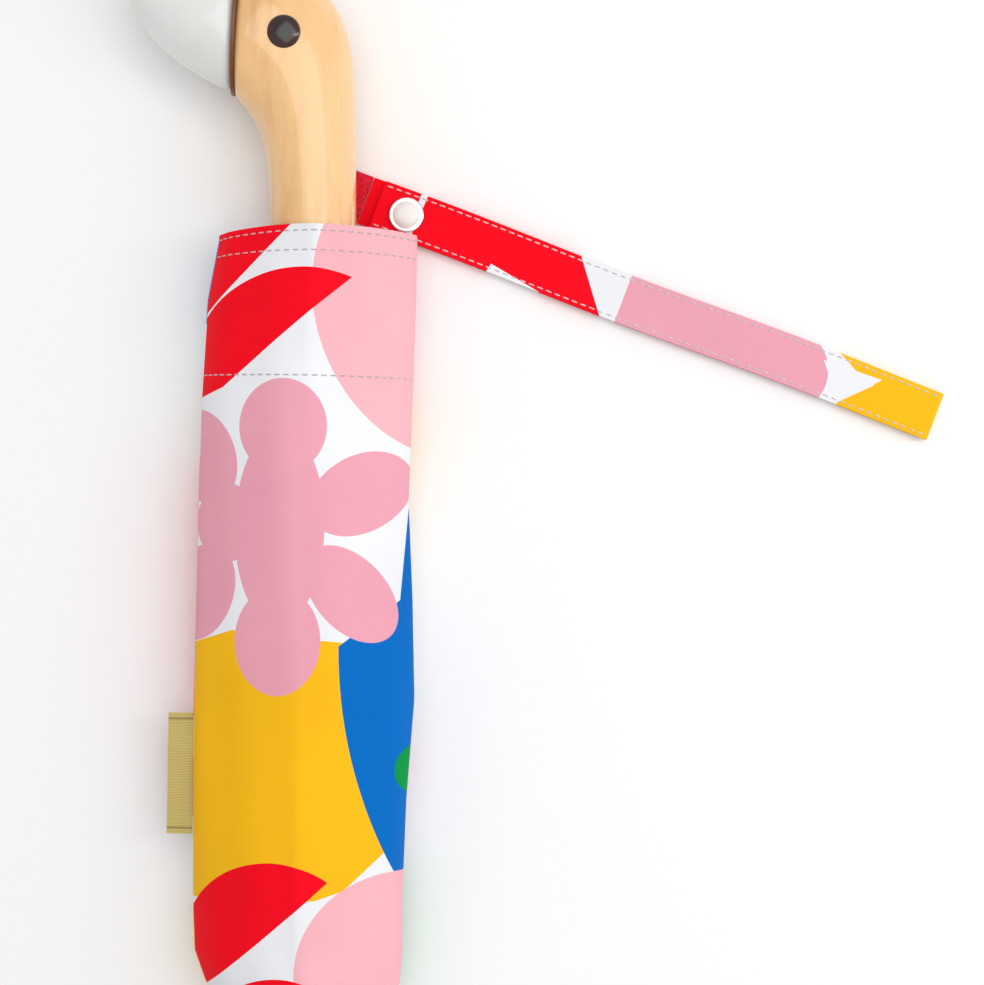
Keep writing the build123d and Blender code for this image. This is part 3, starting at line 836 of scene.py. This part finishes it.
class UMBRELLA_OT_sleeve(bpy.types.Operator):
    """Build the printed sleeve, its stitching and its woven tab"""

    bl_idname = "umbrella.sleeve"
    bl_label = "Sleeve"

    def execute(self, context):
        s = context.scene.umbrella_sleeve
        t = context.scene.umbrella_strap
        stations = [-121.0, -120.7, -120.2, -119.4, -118.2, -116.8, -115.2, -113.4, -111.4, -109.2, -107.0]
        stations += [-107.0 + 2.5 * k for k in range(1, 85)] + [105.5 + 15.5 * k / 10 for k in range(1, 11)]
        points = [sleeve_point(y, 2 * math.pi * k / AROUND, s.fold_depth) for y in stations for k in range(AROUND)]
        faces = grid_faces(len(stations), AROUND, closed=True)
        half = AROUND // 2
        faces.append((0, AROUND - 1, 1))
        faces += [(k, AROUND - k, AROUND - k - 1, k + 1) for k in range(1, half - 1)]
        faces.append((half - 1, half + 1, half))

        def panels(mesh):
            flat = []
            for polygon in mesh.polygons:
                columns = [mesh.loops[i].vertex_index % AROUND for i in polygon.loop_indices]
                wrapped = [c + AROUND if max(columns) - min(columns) > half and c < half else c for c in columns]
                turn = (sum(wrapped) / len(wrapped)) % AROUND / AROUND * 360
                back = turn > 172
                for i in polygon.loop_indices:
                    place = mesh.vertices[mesh.loops[i].vertex_index].co
                    flat.append((place.x + (0.200 if back else 0.0), place.y))
            return flat

        sleeve = mesh_piece("sleeve_sewn", points, faces, panels)
        edit(sleeve)
        bpy.ops.mesh.select_all(action="SELECT")
        bpy.ops.mesh.normals_make_consistent(inside=False)
        bpy.ops.object.mode_set(mode="OBJECT")
        apply_modifier(sleeve, "SOLIDIFY", thickness=s.cloth_thickness, offset=-1.0)
        settle(sleeve, "sleeve_sewn", sleeve_print(s), "sleeve", ("sleeve",), smooth=60)

        thread = thread_finish("sleeve_thread", (0.55, 0.50, 0.50))
        rows = [sleeve_row(below, s.fold_depth) for below in (2.0, 8.0, 46.0)]
        stitches("sleeve_stitches", rows, "sleeve", thread, t.stitch_length, t.stitch_gap)

        rows_x, rows_y = 10, 28
        points, uvs = [], []
        for r in range(rows_y):
            y = -66.5 + 37.4 * r / (rows_y - 1)
            for c in range(rows_x):
                x = -42.0 + 10.5 * c / (rows_x - 1)
                z = 16.6 + 0.25 * math.sin(y * 0.13) * (1 - c / rows_x)
                points.append(Vector((x, y, z)) / 1000)
                uvs.append(((x + 37.5) / 1000, (y + 47.8) / 1000))
        tab = mesh_piece("sleeve_tab", points, grid_faces(rows_y, rows_x), uvs)
        apply_modifier(tab, "SOLIDIFY", thickness=0.0006, offset=-1.0)
        settle(tab, "sleeve_tab", woven_label(s), "sleeve", ("sleeve_label",))
        return {"FINISHED"}


# ---- strap ----------------------------------------------------------------------------------
STRAP_ROOT = Vector((0.0153, 0.1317, 0))
STRAP_RUN = Vector((0.9412, -0.3379, 0))
STRAP_SIDE = Vector((0.3379, 0.9412, 0))
STRAP_LENGTH = 0.19146
STRAP_WIDTH = 0.0154
SNAP = Vector((0.02819, 0.12707, 0))


def band(name, path, thickness, material, body, replaced):
    """A woven band through (distance along, height) points, with its width across the strap."""
    across = 9
    points, uvs = [], []
    for s, z in path:
        sway = 0.0003 * math.sin(s * 55)
        for k in range(across):
            w = (k / (across - 1) - 0.5) * STRAP_WIDTH
            points.append(STRAP_ROOT + STRAP_RUN * s + STRAP_SIDE * (w + sway) + Vector((0, 0, z)))
            uvs.append((s, w))
    piece = mesh_piece(name, points, grid_faces(len(path), across), uvs)
    apply_modifier(piece, "SOLIDIFY", thickness=thickness, offset=0.0)
    edit(piece)
    bpy.ops.mesh.select_all(action="SELECT")
    bpy.ops.mesh.normals_make_consistent(inside=False)
    bpy.ops.object.mode_set(mode="OBJECT")
    return settle(piece, name, material, body, replaced, smooth=50)


class UMBRELLA_OT_strap(bpy.types.Operator):
    """Build the wrist strap, its stitching and its snap"""

    bl_idname = "umbrella.strap"
    bl_label = "Strap"

    def execute(self, context):
        s = context.scene.umbrella_strap
        cloth = strap_print(context.scene.umbrella_sleeve)
        end = STRAP_LENGTH - 0.0035
        lower = [(end * k / 70, 0.0009) for k in range(71)]
        upper = [(0.004 + (STRAP_LENGTH - 0.0016 - 0.004) * k / 70, 0.0031) for k in range(71)]
        for k in range(1, 13):
            a = math.pi * k / 12
            upper.append((STRAP_LENGTH - 0.0016 + 0.0011 * math.sin(a), 0.0020 + 0.0011 * math.cos(a)))
        low = band("strap_back", lower, s.band_thickness, cloth, "strap", ("strap_lower",))
        top = band("strap_front", upper, s.band_thickness, cloth, "strap_end", ("strap_upper",))
        rows = []
        for w in (-0.0064, 0.0064):
            line = [
                STRAP_ROOT + STRAP_RUN * a + STRAP_SIDE * (w + 0.0003 * math.sin(a * 55)) + Vector((0, 0, b + 0.0004))
                for a, b in upper[:71]
            ]
            rows.append((line, [Vector((0, 0, 1))] * len(line)))
        thread = thread_finish("strap_thread", (0.70, 0.66, 0.64))
        stitches("strap_stitches", rows, "strap_end", thread, s.stitch_length, s.stitch_gap)

        silver = metal("snap_silver", (0.72, 0.72, 0.72), 0.22)
        clear_selection()
        bpy.ops.mesh.primitive_cylinder_add(
            vertices=64, radius=0.0055, depth=0.0012, location=SNAP + Vector((0, 0, 0.0042))
        )
        rim = bpy.context.object
        edit(rim)
        pick(rim, "faces", lambda f: f.normal.z > 0.9)
        bpy.ops.mesh.bevel(offset=0.0004, segments=4, affect="EDGES")
        bpy.ops.object.mode_set(mode="OBJECT")
        settle(rim, "snap_rim", silver, "strap_end", ("snap_cap",), smooth=35)
        clear_selection()
        bpy.ops.mesh.primitive_uv_sphere_add(
            segments=48,
            ring_count=24,
            radius=1.0,
            location=SNAP + Vector((0, 0, 0.0046)),
            scale=(0.0044, 0.0044, 0.0011),
        )
        pearl = metal("snap_pearl", (0.86, 0.84, 0.82), 0.25, metallic=0.0)
        pearl.node_tree.nodes["Principled BSDF"].inputs["Coat Weight"].default_value = 0.7
        settle(bpy.context.object, "snap_dome", pearl, "strap_end", ("snap_cap",), smooth=80)
        return {"FINISHED"}


# ---- frame, tubes and folded canopy ---------------------------------------------------------
def folded_canopy_cloth(s):
    """The canopy's cloth in broad patches of the print's colours."""
    g = Graph("canopy_folded")
    patch = g.noise(g.object_space((1, 0.5, 1)), 38.0, 1.0)
    colour = g.mix(g.ramp(patch, 0.47, 0.48), s.red, s.yellow)
    colour = g.mix(g.ramp(g.noise(g.object_space(move=(0.3, 0, 0)), 30.0, 1.0), 0.55, 0.56), colour, s.pink)
    return cloth_finish(g, colour)


class UMBRELLA_OT_frame(bpy.types.Operator):
    """Give the tubes, ribs, runner, crown and folded canopy their finishes"""

    bl_idname = "umbrella.frame"
    bl_label = "Frame"

    def execute(self, context):
        bright = metal("bright_metal", (0.80, 0.80, 0.80), 0.20, (1, 0.05, 1))
        steel = metal("rib_steel", (0.45, 0.46, 0.48), 0.32, (1, 0.05, 1))
        dark = metal("dark_metal", (0.03, 0.03, 0.035), 0.35)
        plastic = metal("dark_plastic", (0.02, 0.02, 0.022), 0.45, metallic=0.0)
        snap = metal("snap_plain", (0.70, 0.70, 0.70), 0.25)
        canopy = folded_canopy_cloth(context.scene.umbrella_sleeve)
        g = Graph("strap_plain")
        weave = g.noise(g.object_space((1, 1, 1)), 1200.0, 2.0)
        tab = cloth_finish(g, g.mix(g.ramp(weave, 0.4, 0.6), (0.62, 0.01, 0.03), (0.80, 0.02, 0.05)))
        rules = (
            ("canopy_", canopy), ("top_rib", steel), ("mid_rib", steel), ("outer_rib", steel), ("stretcher", steel),
            ("strap_tab", tab), ("snap_stud", snap), ("handle_screw", dark), ("handle_cup", bright),
            ("lower_tube", bright), ("middle_tube", bright), ("upper_tube", bright),
            ("crown", plastic), ("ferrule_cap", plastic), ("runner", plastic),
        )
        for name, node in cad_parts.items():
            for start, material in rules:
                if name.startswith(start):
                    node.data.materials.clear()
                    node.data.materials.append(material)
                    break
        return {"FINISHED"}


# ---- stage ----------------------------------------------------------------------------------
class UMBRELLA_OT_stage(bpy.types.Operator):
    """Build the white board, the light and the camera"""

    bl_idname = "umbrella.stage"
    bl_label = "Stage"

    def execute(self, context):
        s = context.scene.umbrella_stage
        scene = context.scene
        clear_selection()
        bpy.ops.mesh.primitive_plane_add(size=1.0, location=(0, 0.9175, -0.0002), scale=(1, 1, 1))
        board = bpy.context.object
        edit(board)
        bpy.ops.mesh.select_all(action="SELECT")
        bpy.ops.transform.resize(value=(3.0, 2.165, 1.0))
        bpy.ops.object.mode_set(mode="OBJECT")
        bpy.ops.object.transform_apply(location=True, rotation=True, scale=True)
        board.name = board.data.name = "board"
        g = Graph("board_white")
        tone = g.noise(g.object_space(), 3.0, 2.0)
        g.set(Base_Color=g.mix(tone, (0.93, 0.93, 0.93), (0.96, 0.96, 0.96)), Roughness=0.9)
        board.data.materials.append(g.material)

        world = bpy.data.worlds.new("surround")
        world.use_nodes = True
        background = world.node_tree.nodes["Background"]
        background.inputs["Color"].default_value = (1, 1, 1, 1)
        background.inputs["Strength"].default_value = s.world_strength
        scene.world = world

        for name, power, size, place in (
            ("key", s.key_power, (1.2, 1.2), (0.15, 0.25, 1.3)),
            ("side", s.side_power, (0.10, 0.9), (0.75, 0.15, 0.55)),
        ):
            light = bpy.data.lights.new(name, "AREA")
            light.shape, light.size, light.size_y, light.energy = "RECTANGLE", size[0], size[1], power
            lamp = bpy.data.objects.new(name, light)
            lamp.location = place
            lamp.rotation_euler = (Vector((0.0, 0.08, 0.02)) - Vector(place)).to_track_quat("-Z", "Y").to_euler()
            scene.collection.objects.link(lamp)

        lens = bpy.data.cameras.new("camera")
        lens.lens, lens.sensor_width = s.lens, 36.0
        camera = bpy.data.objects.new("camera", lens)
        camera.location = (0.0566, 0.0406, 0.020 + 0.303 * s.lens / 36.0)
        camera.rotation_euler = (0, 0, math.radians(1.05))
        scene.collection.objects.link(camera)
        scene.camera = camera
        scene.view_settings.view_transform = "Standard"
        return {"FINISHED"}


class UMBRELLA_PT_panel(bpy.types.Panel):
    """Sidebar panel with one button for each part of the umbrella"""

    bl_idname = "UMBRELLA_PT_panel"
    bl_label = "Folding Umbrella"
    bl_space_type = "VIEW_3D"
    bl_region_type = "UI"
    bl_category = "Umbrella"

    def draw(self, context):
        for group, operator in (
            ("umbrella_handle", "umbrella.handle"), ("umbrella_sleeve", "umbrella.sleeve"),
            ("umbrella_strap", "umbrella.strap"), (None, "umbrella.frame"), ("umbrella_stage", "umbrella.stage"),
        ):
            box = self.layout.box()
            if group:
                settings = getattr(context.scene, group)
                for key in settings.__annotations__:
                    box.prop(settings, key)
            box.operator(operator)


CLASSES = (
    HandleSettings, SleeveSettings, StrapSettings, StageSettings,
    UMBRELLA_OT_handle, UMBRELLA_OT_sleeve, UMBRELLA_OT_strap, UMBRELLA_OT_frame, UMBRELLA_OT_stage, UMBRELLA_PT_panel,
)
SETTINGS = (
    ("umbrella_handle", HandleSettings), ("umbrella_sleeve", SleeveSettings),
    ("umbrella_strap", StrapSettings), ("umbrella_stage", StageSettings),
)


def register():
    for item in CLASSES:
        bpy.utils.register_class(item)
    for name, kind in SETTINGS:
        setattr(bpy.types.Scene, name, bpy.props.PointerProperty(type=kind))


def unregister():
    for name, _ in SETTINGS:
        delattr(bpy.types.Scene, name)
    for item in reversed(CLASSES):
        bpy.utils.unregister_class(item)


def main():
    register()
    bpy.ops.umbrella.stage()
    bpy.ops.umbrella.handle()
    bpy.ops.umbrella.sleeve()
    bpy.ops.umbrella.strap()
    bpy.ops.umbrella.frame()


if __name__ == "__main__":
    main()
